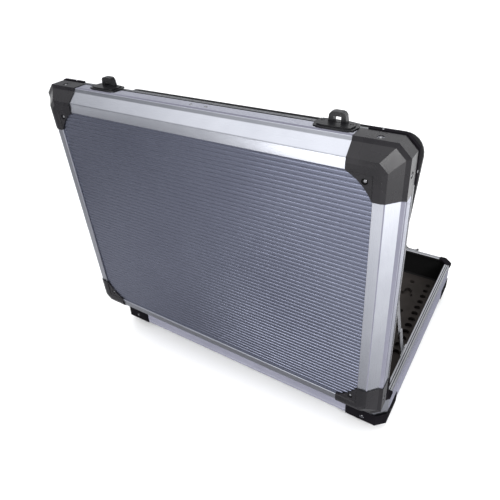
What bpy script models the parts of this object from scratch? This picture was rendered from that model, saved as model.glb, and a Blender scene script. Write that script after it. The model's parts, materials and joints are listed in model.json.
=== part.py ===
"""Aluminium-framed chip case, standing open.

Units are metres and +Z is up. The case is laid out in its own frame: x across the width, y from the rear
(hinge) wall to the front wall, z up from the surface it stands on, with the lid drawn shut. The lid's parts
hang from an empty on the hinge axis, which turns them to the open position.
"""

import math

import bmesh
import bpy
from mathutils import Matrix, Vector

# ---------------------------------------------------------------- driving dimensions
WIDTH = 0.430
DEPTH = 0.330
BASE_HEIGHT = 0.062
LID_DEPTH = 0.035
OPEN_ANGLE = math.radians(93.0)
TOP = BASE_HEIGHT + LID_DEPTH

GAP = 0.0003
HINGE_SETBACK = 0.003
MOUTH_GAP = 0.00025

# Edge frame section: (inset from the side plane, depth below the outer face)
FRAME_LIP = (0.024, 0.0)
FRAME_FOLD = (0.0135, 0.0012)
FRAME_RIDGE = (0.0036, 0.0118)
FRAME_EDGE = (0.0, 0.0130)
FRAME_WALL = 0.0022
FRAME_LIP_DEPTH = 0.0049
LID_FRAME_END = 0.0290
PANEL_TOP = 0.0016
PANEL_THICKNESS = 0.003
RIB_PITCH = 0.00465
FRAME_END = 0.016
FRAME_LIP_END = 0.0285
POST_LEG = 0.012

# Rims round the two mouths
RIM_HEIGHT = 0.00415
RIM_WIDTH = 0.0075
RIM_CORNER_REACH = {"base": 0.0185, "lid": 0.042}
RIM_CORNER_PROUD = 0.0016
RIM_CORNER_LEG = 0.011
GROOVE = 0.0005

# Corner caps
CAP_REACH = 0.0485
CAP_PROUD = 0.0009
CAP_LEG = 0.0105
CAP_CLEAR = 0.00025
CAP_WEB_RADIUS = 0.048
CAP_WEB_NEAR = 0.0345
CAP_FOLD_CHAMFER = 0.007
CAP_LAND = 0.0175
CAP_LAND_CHAMFER = 0.0055
CAP_RIDGE_CHAMFER = 0.0084
CAP_LIP_CHAMFER = 0.0005
WEB_RIVET = 0.0315
FLANK_RIVET = (0.027, 0.0185)
RIVET_HOLE = 0.0030
BASE_LIFT = CAP_PROUD

# Liners and tray
LINER_WALL = 0.0012
LINER_FLOOR = (0.017, 0.0053)
LINER_SHOULDER = (0.0027, 0.0155)
LINER_CHAMFER = 0.011
TRAY_TOP = 0.0145
TRAY_BOTTOM = 0.0072
TRAY_INSETS = (0.0173, 0.0069)
TROUGH_RADIUS = 0.0205
TROUGH_DEPTH = 0.0057
TROUGH_PITCH = 0.044
TROUGH_ROWS = 7
TROUGH_FIRST_X = -0.166
TROUGH_LENGTH = 0.284
PEG_ROW_X = 0.1895
PEG_ROW_Y = 0.138
PEG_PITCH = 0.0159
PEG_COUNT = 12
PEG_RADII = (0.0041, 0.0062)
PEG_SMALL = ((0.163, 0.137), (0.168, 0.055))
CUTOUT_LOBES = ((0.1575, 0.101), (0.170, 0.100), (0.163, 0.1135))
CUTOUT_RADIUS = 0.0042

# Hinge
HINGE_LENGTH = 0.300
HINGE_KNUCKLES = 11
KNUCKLE_RADIUS = 0.0026
KNUCKLE_BORE = 0.0013
PIN_RADIUS = 0.0010
LEAF_THICKNESS = 0.0010
LEAF_HEIGHT = 0.015

# Latches: the pair sits a little right of centre
LATCH_SPACING = 0.275
LATCH_SHIFT = 0.0085
LEVER_PIVOT = (0.0090, 0.055)
LEVER_FRONT = 0.0142
LEVER_LOW = 0.0225
BAIL_PIVOT = (0.0098, 0.044)
BAIL_REACH = (0.0042, 0.0263)
BAIL_BAR = (0.0039, 0.0028)
LATCH_PIN = 0.0014
LATCH_HOLE = 0.0017

# Handle
HANDLE_X = 0.003
HANDLE_PIVOT = (0.0072, 0.046)
HANDLE_HALF = 0.041
HANDLE_DROP = 0.023

# Lid stay, on the right-hand side
STAY_BASE = (-0.074, 0.0575)
STAY_LID = (0.072, BASE_HEIGHT + 0.0085)
STAY_SHORT = 0.0620
LINK_WIDTH = 0.009
LINK_THICKNESS = 0.0012
LOWER_LINK_X = 0.2054
UPPER_LINK_X = 0.2039
BRACKET_X = 0.2068
BRACKET_THICKNESS = 0.0010
STAY_HEAD = 0.0006
STAY_PIN = 0.0015
STAY_HOLE = 0.0018

# Board in the lid, hinged along its lower edge and leaning out
BOARD_HALF = 0.2018
BOARD_PIVOT = (-0.146, 0.0132)
BOARD_LENGTH = 0.297
BOARD_THICKNESS = 0.0045
BOARD_CORNER = 0.022
BOARD_FOOT = 0.014
BOARD_LEAN = math.radians(21.5)

SIDES = (("front", 0.0), ("rear", math.pi), ("right", -math.pi / 2), ("left", math.pi / 2))
CORNERS = (
    ("front_right", 1, 1, 0.0),
    ("front_left", -1, 1, math.pi / 2),
    ("rear_left", -1, -1, math.pi),
    ("rear_right", 1, -1, -math.pi / 2),
)

COLOURS = {
    "aluminium": ((0.56, 0.57, 0.62), 0.35, 1.0),
    "ribbed_panel": ((0.26, 0.27, 0.33), 0.32, 0.9),
    "black_plastic": ((0.030, 0.028, 0.032), 0.45, 0.0),
    "black_latch": ((0.012, 0.012, 0.014), 0.3, 0.0),
    "liner": ((0.02, 0.02, 0.02), 0.9, 0.0),
    "tray_foam": ((0.045, 0.042, 0.038), 0.95, 0.0),
    "zinc_steel": ((0.62, 0.62, 0.62), 0.3, 1.0),
    "board_fabric": ((0.012, 0.012, 0.013), 0.9, 0.0),
}


# ---------------------------------------------------------------- scene helpers
def clear_scene():
    for obj in list(bpy.data.objects):
        bpy.data.objects.remove(obj, do_unlink=True)


def new_collection(name):
    collection = bpy.data.collections.new(name)
    bpy.context.scene.collection.children.link(collection)
    return collection


def new_material(name):
    colour, roughness, metallic = COLOURS[name]
    material = bpy.data.materials.new(name)
    material.use_nodes = True
    shader = material.node_tree.nodes["Principled BSDF"]
    shader.inputs["Base Color"].default_value = (*colour, 1.0)
    shader.inputs["Roughness"].default_value = roughness
    shader.inputs["Metallic"].default_value = metallic
    return material


def new_empty(name, location, parent=None):
    empty = bpy.data.objects.new(name, None)
    empty.location = location
    empty.parent = parent
    PARTS.objects.link(empty)
    return empty


clear_scene()
PARTS = new_collection("chip_case")
CUTTERS = new_collection("cutters")
CUTTERS.hide_render = True
MATERIALS = {name: new_material(name) for name in COLOURS}


def part(name, mesh, material, parent, origin=(0, 0, 0)):
    """A named piece. Its mesh is in the case frame; origin is where its own origin goes, in that frame."""
    mesh.transform(Matrix.Translation(-Vector(origin)))
    mesh.materials.clear()
    mesh.materials.append(MATERIALS[material])
    obj = bpy.data.objects.new(name, mesh)
    obj.parent = parent
    obj.location = Vector(origin) - Vector(parent.get("case_point", (0, 0, 0)))
    PARTS.objects.link(obj)
    return obj


def smooth(obj, angle=35):
    obj.data.shade_smooth()
    obj.data.set_sharp_from_angle(angle=math.radians(angle))
    return obj


def combine(mesh, others, operation):
    """Applies an exact Boolean of each of the other meshes to a mesh, and returns the result."""
    base = bpy.data.objects.new("work", mesh)
    CUTTERS.objects.link(base)
    helpers = []
    for number, other in enumerate(others):
        helper = bpy.data.objects.new(f"helper_{number}", other)
        helper.hide_render = True
        helper.display_type = "WIRE"
        CUTTERS.objects.link(helper)
        modifier = base.modifiers.new(f"boolean_{number}", "BOOLEAN")
        modifier.operation = operation
        modifier.object = helper
        modifier.solver = "EXACT"
        helpers.append(helper)
    bpy.context.view_layer.update()
    graph = bpy.context.evaluated_depsgraph_get()
    result = bpy.data.meshes.new_from_object(base.evaluated_get(graph))
    for obj in [base, *helpers]:
        bpy.data.objects.remove(obj, do_unlink=True)
    return result


def cut(mesh, *cutters):
    return combine(mesh, cutters, "DIFFERENCE")


def join(mesh, *others):
    return combine(mesh, others, "UNION")


# ---------------------------------------------------------------- shape helpers
def to_mesh(bm):
    """The mesh of a closed shape, with its faces turned outwards."""
    bmesh.ops.recalc_face_normals(bm, faces=bm.faces)
    if bm.calc_volume(signed=True) < 0:
        bmesh.ops.reverse_faces(bm, faces=bm.faces)
    mesh = bpy.data.meshes.new("shape")
    bm.to_mesh(mesh)
    bm.free()
    return mesh


def box(low, high):
    bm = bmesh.new()
    low, high = Vector(low), Vector(high)
    bmesh.ops.create_cube(bm, size=1.0)
    for vert in bm.verts:
        vert.co = Vector(
            ((low[i] + high[i]) / 2 + vert.co[i] * (high[i] - low[i]) for i in range(3))
        )
    return to_mesh(bm)


def rod(start, end, radius, segments=16, end_radius=None):
    """A cylinder, or a cone, from one point to another."""
    start, end = Vector(start), Vector(end)
    bm = bmesh.new()
    bmesh.ops.create_cone(
        bm,
        cap_ends=True,
        segments=segments,
        radius1=radius,
        radius2=radius if end_radius is None else end_radius,
        depth=(end - start).length,
    )
    turn = (end - start).to_track_quat("Z", "Y").to_matrix().to_4x4()
    bm.transform(Matrix.Translation((start + end) / 2) @ turn)
    return to_mesh(bm)


def arc(centre, radius, start, end, steps):
    """Points on an arc, angles in degrees."""
    points = []
    for step in range(steps + 1):
        angle = math.radians(start + (end - start) * step / steps)
        points.append((centre[0] + radius * math.cos(angle), centre[1] + radius * math.sin(angle)))
    return points


def rounded(width, height, radius, steps=4):
    """Outline of a rectangle with round corners, centred on the origin."""
    x, y = width / 2 - radius, height / 2 - radius
    points = []
    for quarter, (sx, sy) in enumerate(((1, 1), (-1, 1), (-1, -1), (1, -1))):
        points += arc((sx * x, sy * y), radius, 90 * quarter, 90 * quarter + 90, steps)
    return points


def circle(centre, radius, segments=16):
    return arc(centre, radius, 0, 360 - 360 / segments, segments - 1)


def plate(outlines, thickness, matrix=None):
    """A flat outline with any holes, as a filled 2D curve extruded about its own plane."""
    curve = bpy.data.curves.new("outline", "CURVE")
    curve.dimensions = "2D"
    curve.fill_mode = "BOTH"
    curve.extrude = thickness / 2
    for outline in outlines:
        spline = curve.splines.new("POLY")
        spline.points.add(len(outline) - 1)
        for point, (x, y) in zip(spline.points, outline):
            point.co = (x, y, 0, 1)
        spline.use_cyclic_u = True
    holder = bpy.data.objects.new("outline", curve)
    CUTTERS.objects.link(holder)
    bpy.context.view_layer.update()
    graph = bpy.context.evaluated_depsgraph_get()
    mesh = bpy.data.meshes.new_from_object(holder.evaluated_get(graph))
    bpy.data.objects.remove(holder, do_unlink=True)
    bm = bmesh.new()
    bm.from_mesh(mesh)
    bmesh.ops.remove_doubles(bm, verts=bm.verts, dist=1e-6)
    mesh = to_mesh(bm)
    if matrix is not None:
        mesh.transform(matrix)
    return mesh


def tube(points, radius, radii=None, resolution=3):
    """A round bar along a smooth path through the points."""
    curve = bpy.data.curves.new("path", "CURVE")
    curve.dimensions = "3D"
    curve.bevel_depth = radius
    curve.bevel_resolution = resolution
    curve.use_fill_caps = True
    spline = curve.splines.new("POLY")
    spline.points.add(len(points) - 1)
    for number, (point, place) in enumerate(zip(spline.points, points)):
        point.co = (*place, 1)
        point.radius = radii[number] if radii else 1.0
    holder = bpy.data.objects.new("path", curve)
    CUTTERS.objects.link(holder)
    bpy.context.view_layer.update()
    graph = bpy.context.evaluated_depsgraph_get()
    mesh = bpy.data.meshes.new_from_object(holder.evaluated_get(graph))
    bpy.data.objects.remove(holder, do_unlink=True)
    bm = bmesh.new()
    bm.from_mesh(mesh)
    bmesh.ops.remove_doubles(bm, verts=bm.verts, dist=1e-6)
    return to_mesh(bm)


def loft(rings):
    """A closed solid through rings of equal point counts, listed from one end to the other."""
    bm = bmesh.new()
    loops = [[bm.verts.new(point) for point in ring] for ring in rings]
    count = len(rings[0])
    for lower, upper in zip(loops, loops[1:]):
        for i in range(count):
            j = (i + 1) % count
            bm.faces.new((lower[i], lower[j], upper[j], upper[i]))
    bm.faces.new(loops[0])
    bm.faces.new(loops[-1])
    return to_mesh(bm)


def offset_path(points, distance):
    """A path moved outwards (to its left) by a distance, with its corners kept sharp."""
    lines = []
    for (x0, y0), (x1, y1) in zip(points, points[1:]):
        length = math.hypot(x1 - x0, y1 - y0)
        nx, ny = -(y1 - y0) / length, (x1 - x0) / length
        lines.append(((x0 + nx * distance, y0 + ny * distance), (x1 - x0, y1 - y0)))
    moved = [lines[0][0]]
    for (p, u), (q, v) in zip(lines, lines[1:]):
        cross = u[0] * v[1] - u[1] * v[0]
        t = ((q[0] - p[0]) * v[1] - (q[1] - p[1]) * v[0]) / cross
        moved.append((p[0] + u[0] * t, p[1] + u[1] * t))
    p, u = lines[-1]
    moved.append((p[0] + u[0], p[1] + u[1]))
    return moved


def corner_ring(inset, chamfer, level, reach):
    """Outline round one corner, whose own corner point is (0, 0) with the case at negative x and y."""
    return [
        (-reach, -reach, level),
        (-inset, -reach, level),
        (-inset, -inset - chamfer, level),
        (-inset - chamfer, -inset, level),
        (-reach, -inset, level),
    ]


def case_ring(inset, chamfer, level):
    """The whole outline of the case, set in from its side planes, with chamfered corners."""
    x, y = WIDTH / 2 - inset, DEPTH / 2 - inset
    return [
        (x, -y + chamfer, level),
        (x, y - chamfer, level),
        (x - chamfer, y, level),
        (-x + chamfer, y, level),
        (-x, y - chamfer, level),
        (-x, -y + chamfer, level),
        (-x + chamfer, -y, level),
        (x - chamfer, -y, level),
    ]


def base_level(depth):
    """Height of a point this deep inside the base's outer face."""
    return BASE_LIFT + depth


def lid_level(depth):
    return TOP - depth


def side_matrix(name, angle):
    """From a side's frame (x along it, y outwards from its face) to the case frame."""
    reach = WIDTH / 2 if name in ("left", "right") else DEPTH / 2
    return Matrix.Rotation(angle, 4, "Z") @ Matrix.Translation((0, reach, 0))


def side_length(name):
    return DEPTH if name in ("left", "right") else WIDTH


def extrusion(section, length):
    """A section of (y, z) points run along x, centred on the origin."""
    to_x = Matrix(((0, 0, 1, 0), (1, 0, 0, 0), (0, 1, 0, 0), (0, 0, 0, 1)))
    return plate([section], length, to_x)


def trimmed(mesh, planes):
    """Cuts a closed mesh at each plane, given by a point and an outward normal, and closes the cut."""
    bm = bmesh.new()
    bm.from_mesh(mesh)
    for point, normal in planes:
        geometry = bm.verts[:] + bm.edges[:] + bm.faces[:]
        bmesh.ops.bisect_plane(bm, geom=geometry, plane_co=point, plane_no=normal, clear_outer=True)
        rims = [edge for edge in bm.edges if edge.is_boundary]
        bmesh.ops.holes_fill(bm, edges=rims)
    return to_mesh(bm)


def side_planes(length):
    """Slanted end cuts, under the caps, that keep the sides clear of each other and of the caps."""
    slant = (FRAME_LIP_END - FRAME_END) / FRAME_LIP[0]
    return [((sign * (length / 2 - FRAME_END), 0, 0), (sign, -slant, 0)) for sign in (-1, 1)]


def y_pin(x0, x1, pivot, radius, segments=16):
    """A pin along x at a pivot given as (y, z)."""
    return rod((x0, *pivot), (x1, *pivot), radius, segments)


# ---------------------------------------------------------------- frames, panels and rims
def frame_section(level, end_depth):
    """The edge extrusion's section, from its lip over the fold, ridge and ledge to the end of its side wall."""
    inner_edge = (FRAME_WALL, FRAME_EDGE[1] + 0.001)
    inner_fold = (FRAME_FOLD[0] + 0.0014, FRAME_LIP_DEPTH)
    path = [
        FRAME_LIP,
        FRAME_FOLD,
        FRAME_RIDGE,
        FRAME_EDGE,
        (0.0, end_depth),
        (FRAME_WALL, end_depth),
        inner_edge,
        inner_fold,
        (FRAME_LIP[0], FRAME_LIP_DEPTH),
    ]
    return [(-inset, level(depth)) for inset, depth in path]


def make_sides(prefix, level, end_depth, parent):
    for name, angle in SIDES:
        length = side_length(name)
        mesh = extrusion(frame_section(level, end_depth), length)
        mesh = trimmed(mesh, side_planes(length))
        mesh.transform(side_matrix(name, angle))
        part(f"{prefix}_side_{name}", mesh, "aluminium", parent)


def panel_size():
    inset = FRAME_LIP[0] + GAP
    return WIDTH - 2 * inset, DEPTH - 2 * inset


def make_lid_panel(parent):
    """The ribbed outer skin: shallow rounded ribs across the width, on a flat sheet."""
    width, depth = panel_size()
    count = int(depth / RIB_PITCH)
    start = -count * RIB_PITCH / 2
    top = lid_level(PANEL_TOP)
    valley = 0.00045
    section = [(-depth / 2, top - PANEL_THICKNESS), (-depth / 2, top - valley)]
    for rib in range(count):
        y = start + rib * RIB_PITCH
        section += [
            (y + 0.10 * RIB_PITCH, top - valley),
            (y + 0.30 * RIB_PITCH, top),
            (y + 0.80 * RIB_PITCH, top),
            (y + 0.95 * RIB_PITCH, top - valley),
        ]
    section += [(depth / 2, top - valley), (depth / 2, top - PANEL_THICKNESS)]
    part("lid_panel", extrusion(section, width), "ribbed_panel", parent)


def make_floor_panel(parent):
    width, depth = panel_size()
    level = base_level(PANEL_TOP)
    mesh = box((-width / 2, -depth / 2, level), (width / 2, depth / 2, level + PANEL_THICKNESS))
    part("floor_panel", mesh, "ribbed_panel", parent)


def rim_section(sign):
    """The rim's section. Its mouth face is at z = 0 and its body lies on the side of sign."""
    height = sign * RIM_HEIGHT
    side = [(0.0, height)]
    for share in (0.72, 0.42):
        z = height * share
        step = sign * GROOVE
        side += [(0.0, z + step), (-GROOVE, z + 0.4 * step), (-GROOVE, z - 0.4 * step), (0.0, z - step)]
    mouth = [(0.0, 0.0)]
    for share in (0.25, 0.5, 0.75):
        y = -RIM_WIDTH * share
        mouth += [(y + GROOVE, 0.0), (y + 0.4 * GROOVE, sign * GROOVE)]
        mouth += [(y - 0.4 * GROOVE, sign * GROOVE), (y - GROOVE, 0.0)]
    return side + mouth + [(-RIM_WIDTH, 0.0), (-RIM_WIDTH, height)]


def make_rims(prefix, mouth, sign, parent):
    for name, angle in SIDES:
        length = side_length(name) - 2 * (RIM_CORNER_REACH[prefix] + GAP)
        mesh = extrusion(rim_section(sign), length)
        mesh.transform(Matrix.Translation((0, 0, mouth)))
        mesh.transform(side_matrix(name, angle))
        part(f"{prefix}_rim_{name}", mesh, "aluminium", parent)


def make_rim_corners(prefix, mouth, sign, parent):
    out, reach, chamfer = RIM_CORNER_PROUD, RIM_CORNER_REACH[prefix], RIM_CORNER_LEG
    inner = RIM_WIDTH
    outline = [
        (-reach, out),
        (out - chamfer, out),
        (out, out - chamfer),
        (out, -reach),
        (-inner, -reach),
        (-inner, -inner - 0.007),
        (-inner - 0.007, -inner),
        (-reach, -inner),
    ]
    for name, sx, sy, angle in CORNERS:
        mesh = plate([outline], RIM_HEIGHT)
        place = Matrix.Translation((sx * WIDTH / 2, sy * DEPTH / 2, mouth + sign * RIM_HEIGHT / 2))
        mesh.transform(place @ Matrix.Rotation(angle, 4, "Z"))
        part(f"{prefix}_rim_corner_{name}", mesh, "black_plastic", parent)


def make_posts(parent):
    """Chamfered extrusions up the base's four vertical corners, from the edge frame to the rim."""
    end, leg, wall = FRAME_END - GAP, POST_LEG, FRAME_WALL
    inner = leg + wall * (2 - math.sqrt(2)) - 2 * wall + wall
    outline = [
        (-end, 0.0),
        (-leg, 0.0),
        (0.0, -leg),
        (0.0, -end),
        (-wall, -end),
        (-wall, -inner - 0.0006),
        (-inner - 0.0006, -wall),
        (-end, -wall),
    ]
    low = base_level(FRAME_EDGE[1])
    high = BASE_HEIGHT - MOUTH_GAP - RIM_HEIGHT - GAP
    for name, sx, sy, angle in CORNERS:
        mesh = plate([outline], high - low)
        place = Matrix.Translation((sx * WIDTH / 2, sy * DEPTH / 2, (low + high) / 2))
        mesh.transform(place @ Matrix.Rotation(angle, 4, "Z"))
        part(f"base_post_{name}", mesh, "aluminium", parent)


# ---------------------------------------------------------------- corner caps
def cap_section(end_depth):
    """The cap's section as (inset, depth, chamfer): up over the outside, down at the lip, back along the inside."""
    path = [FRAME_LIP, FRAME_FOLD, FRAME_RIDGE, FRAME_EDGE, (0.0, end_depth)]
    lip, fold, ridge, edge, end = offset_path(path, CAP_PROUD)
    grow = CAP_PROUD * (2 - math.sqrt(2))
    web = (FRAME_LIP[0] + CAP_PROUD, PANEL_TOP - CAP_CLEAR - 0.00005)
    outside = [
        (*end, CAP_LEG + grow),
        (*edge, CAP_LEG + grow),
        (*ridge, CAP_RIDGE_CHAMFER + grow),
        (*fold, CAP_FOLD_CHAMFER + grow),
        (CAP_LAND, -CAP_PROUD, CAP_LAND_CHAMFER + grow),
        (FRAME_LIP[0] + CAP_CLEAR, -CAP_PROUD, CAP_LIP_CHAMFER + grow),
        (web[0], 0.00005, CAP_LIP_CHAMFER + grow),
        (*web, CAP_LIP_CHAMFER + grow),
    ]
    lip, fold, ridge, edge, end = offset_path(path, CAP_CLEAR)
    grow = CAP_CLEAR * (2 - math.sqrt(2))
    inside = [
        (FRAME_LIP[0] + CAP_CLEAR, web[1], CAP_LIP_CHAMFER + grow),
        (*lip, CAP_LIP_CHAMFER + grow),
        (*fold, CAP_FOLD_CHAMFER + grow),
        (*ridge, CAP_RIDGE_CHAMFER + grow),
        (*edge, CAP_LEG + grow),
        (*end, CAP_LEG + grow),
    ]
    return outside + inside


def cap_mesh():
    """A moulded cap for one corner, drawn for the lid: outer face up, corner point at the origin."""
    section = cap_section(LID_FRAME_END + GAP)
    reach = CAP_REACH
    stations = [
        [(-reach, -u, -v) for u, v, c in section],
        [(-u - c, -u, -v) for u, v, c in section],
        [(-u, -u - c, -v) for u, v, c in section],
        [(-u, -reach, -v) for u, v, c in section],
    ]
    edge, chamfer = FRAME_LIP[0] + CAP_PROUD / 2, CAP_LIP_CHAMFER
    middle = -CAP_WEB_RADIUS / math.sqrt(2) - CAP_WEB_NEAR
    outline = [(-edge, -edge - chamfer), (-edge - chamfer, -edge), (-reach + GAP, -edge)]
    outline += arc((middle, middle), CAP_WEB_RADIUS, 65.2, 24.8, 12)
    outline += [(-edge, -reach + GAP)]
    web = plate([outline], PANEL_TOP - CAP_CLEAR, Matrix.Translation((0, 0, (CAP_CLEAR - PANEL_TOP) / 2)))
    web_hole = rod((-WEB_RIVET, -WEB_RIVET, -0.01), (-WEB_RIVET, -WEB_RIVET, 0.01), RIVET_HOLE)
    along, down = FLANK_RIVET
    first = rod((-along, -0.004, -down), (-along, 0.004, -down), RIVET_HOLE)
    second = rod((-0.004, -along, -down), (0.004, -along, -down), RIVET_HOLE)
    return cut(join(loft(stations), web), web_hole, first, second)


def make_caps(prefix, parent):
    shape = cap_mesh()
    for name, sx, sy, angle in CORNERS:
        mesh = shape.copy()
        place = Matrix.Translation((sx * WIDTH / 2, sy * DEPTH / 2, 0))
        if prefix == "lid":
            turn = Matrix.Translation((0, 0, TOP)) @ Matrix.Rotation(angle, 4, "Z")
        else:
            over = Matrix.Rotation(math.pi, 4, Vector((1, 1, 0)).normalized())
            turn = Matrix.Translation((0, 0, BASE_LIFT)) @ Matrix.Rotation(angle, 4, "Z") @ over
        mesh.transform(place @ turn)
        part(f"{prefix}_cap_{name}", mesh, "black_plastic", parent)


# ---------------------------------------------------------------- liners and tray
def liner_mesh(level, end_depth):
    """An open tray of thin sheet that follows the inside of the frame."""
    outer = [
        case_ring(LINER_FLOOR[0], LINER_CHAMFER, level(LINER_FLOOR[1])),
        case_ring(LINER_SHOULDER[0], LINER_CHAMFER, level(LINER_SHOULDER[1])),
        case_ring(LINER_SHOULDER[0], LINER_CHAMFER, level(end_depth)),
    ]
    past = end_depth + 0.002
    inset, deeper = LINER_WALL, LINER_WALL
    inner = [
        case_ring(LINER_FLOOR[0] + 0.0006, LINER_CHAMFER, level(LINER_FLOOR[1] + deeper)),
        case_ring(LINER_SHOULDER[0] + inset, LINER_CHAMFER, level(LINER_SHOULDER[1] + 0.0006)),
        case_ring(LINER_SHOULDER[0] + inset, LINER_CHAMFER, level(past)),
    ]
    return cut(loft(outer), loft(inner))


def make_tray(parent):
    """A thick foam insert: shallow cradles for rows of chips, and a row of round peg holes at the right."""
    mesh = loft(
        [
            case_ring(TRAY_INSETS[0], LINER_CHAMFER, base_level(TRAY_BOTTOM)),
            case_ring(TRAY_INSETS[1], LINER_CHAMFER, base_level(TRAY_TOP)),
        ]
    )
    top = base_level(TRAY_TOP)
    floor = base_level(TRAY_BOTTOM) + 0.0015
    cutters = []
    for row in range(TROUGH_ROWS):
        x = TROUGH_FIRST_X + row * TROUGH_PITCH
        z = top + TROUGH_RADIUS - TROUGH_DEPTH
        half = TROUGH_LENGTH / 2
        cutters.append(rod((x, -half, z), (x, half, z), TROUGH_RADIUS, 36))
    for peg in range(PEG_COUNT):
        y = PEG_ROW_Y - peg * PEG_PITCH
        share = min(peg / 9, 1.0)
        radius = PEG_RADII[0] + (PEG_RADII[1] - PEG_RADII[0]) * share
        cutters.append(rod((PEG_ROW_X, y, floor), (PEG_ROW_X, y, top + 0.01), radius, 16))
    for x, y in PEG_SMALL:
        cutters.append(rod((x, y, floor), (x, y, top + 0.01), PEG_RADII[0], 16))
    lobes = [rod((x, y, floor), (x, y, top + 0.01), CUTOUT_RADIUS, 12) for x, y in CUTOUT_LOBES]
    (x0, y0), (x1, _), (_, y2) = CUTOUT_LOBES
    bridge = box((x0, y0 - 0.0025, floor), (x1, y2, top + 0.01))
    cutters.append(join(bridge, *lobes))
    part("tray_insert", cut(mesh, *cutters), "tray_foam", parent)


# ---------------------------------------------------------------- hinge
def make_hinge(base, lid):
    axis_y, axis_z = -DEPTH / 2 - HINGE_SETBACK, BASE_HEIGHT
    step = HINGE_LENGTH / HINGE_KNUCKLES
    near = -DEPTH / 2 - GAP
    far = near - LEAF_THICKNESS
    clear = KNUCKLE_RADIUS + GAP
    for name, first, sign, parent in (("base", 0, -1, base), ("lid", 1, 1, lid)):
        ends = sorted((axis_z + sign * clear, axis_z + sign * LEAF_HEIGHT))
        leaf = box((-HINGE_LENGTH / 2, far, ends[0]), (HINGE_LENGTH / 2, near, ends[1]))
        pieces = []
        bores = []
        for knuckle in range(first, HINGE_KNUCKLES, 2):
            x0 = -HINGE_LENGTH / 2 + knuckle * step + GAP / 2
            x1 = x0 + step - GAP
            tab = sorted((axis_z, axis_z + sign * (clear + 0.001)))
            pieces.append(box((x0, far, tab[0]), (x1, near, tab[1])))
            pieces.append(rod((x0, axis_y, axis_z), (x1, axis_y, axis_z), KNUCKLE_RADIUS, 12))
            bores.append(rod((x0 - 0.002, axis_y, axis_z), (x1 + 0.002, axis_y, axis_z), KNUCKLE_BORE, 8))
        mesh = cut(join(leaf, *pieces), *bores)
        part(f"hinge_leaf_{name}", mesh, "zinc_steel", parent)
    half = HINGE_LENGTH / 2 + 0.0005
    pin = rod((-half, axis_y, axis_z), (half, axis_y, axis_z), PIN_RADIUS, 10)
    part("hinge_pin", pin, "zinc_steel", base, (0, axis_y, axis_z))


# ---------------------------------------------------------------- latches
def latch_places():
    middle = LATCH_SHIFT
    return (("left", middle - LATCH_SPACING / 2), ("right", middle + LATCH_SPACING / 2))


def side_profile(x, width, outline):
    """A plate whose outline is given in (y, z), lying across x."""
    to_x = Matrix(((0, 0, 1, x), (1, 0, 0, 0), (0, 1, 0, 0), (0, 0, 0, 1)))
    return plate([outline], width, to_x)


def make_latch_plate(name, x, parent):
    wall = DEPTH / 2
    to_wall = Matrix(((1, 0, 0, x), (0, 0, -1, wall + GAP + 0.001), (0, 1, 0, 0.0385), (0, 0, 0, 1)))
    mesh = plate([rounded(0.034, 0.040, 0.004, 3)], 0.002, to_wall)
    y, z = wall + LEVER_PIVOT[0], LEVER_PIVOT[1]
    ears = []
    for sign in (-1, 1):
        outline = [(wall + 0.001, z - 0.0065), (y, z - 0.0032)]
        outline += arc((y, z), 0.0032, -70, 90, 5)
        outline += [(wall + 0.001, z + 0.005)]
        ears.append(side_profile(x + sign * 0.0076, 0.002, outline))
    pin = y_pin(x - 0.0114, x + 0.0114, (y, z), LATCH_PIN, 12)
    part(f"latch_plate_{name}", join(mesh, *ears, pin), "black_latch", parent)


def make_lever(name, x, parent):
    """A channel-shaped lever: two cheeks on the pivot pin, a front plate, and a lip to lift it by."""
    wall = DEPTH / 2
    y, z = wall + LEVER_PIVOT[0], LEVER_PIVOT[1]
    qy, qz = wall + BAIL_PIVOT[0], BAIL_PIVOT[1]
    front, low = wall + LEVER_FRONT, LEVER_LOW
    cheeks = []
    for sign in (-1, 1):
        outline = arc((y, z), 0.005, 200, 40, 7)
        outline += [(front, z - 0.001), (front, low), (y, low), (y - 0.0035, z - 0.016)]
        cheek = side_profile(x + sign * 0.0102, 0.002, outline)
        holes = [y_pin(x - 0.02, x + 0.02, point, LATCH_HOLE, 12) for point in ((y, z), (qy, qz))]
        cheeks.append(cut(cheek, *holes))
    cover = box((x - 0.0112, front - 0.0016, low), (x + 0.0112, front, z - 0.001))
    lip_outline = [(front - 0.0012, low + 0.0005), (front + 0.0030, low - 0.0005)]
    lip_outline += [(front + 0.0036, low + 0.0010), (front - 0.0004, low + 0.0040)]
    lip = side_profile(x, 0.0220, lip_outline)
    mesh = join(cover, cheeks[0], cheeks[1], lip)
    part(f"latch_lever_{name}", mesh, "black_latch", parent, (x, y, z))


def make_bail(name, x, parent):
    """The hooking loop, hanging down: two arms on stub pins in the lever, and a bar across below it."""
    qy, qz = DEPTH / 2 + BAIL_PIVOT[0], BAIL_PIVOT[1]
    by, bz = qy + BAIL_REACH[0], qz - BAIL_REACH[1]
    half_y, half_z = BAIL_BAR[0] / 2, BAIL_BAR[1] / 2
    pieces = []
    for sign in (-1, 1):
        outline = arc((qy, qz), 0.0028, 0, 180, 6)
        outline += [(by - half_y, bz - half_z), (by + half_y, bz - half_z)]
        pieces.append(side_profile(x + sign * 0.0130, 0.0026, outline))
        pieces.append(y_pin(x + sign * 0.0095, x + sign * 0.0130, (qy, qz), LATCH_PIN, 12))
    bar = box((x - 0.0140, by - half_y, bz - half_z), (x + 0.0140, by + half_y, bz + half_z))
    part(f"latch_bail_{name}", join(bar, *pieces), "black_latch", parent, (x, qy, qz))


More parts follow.
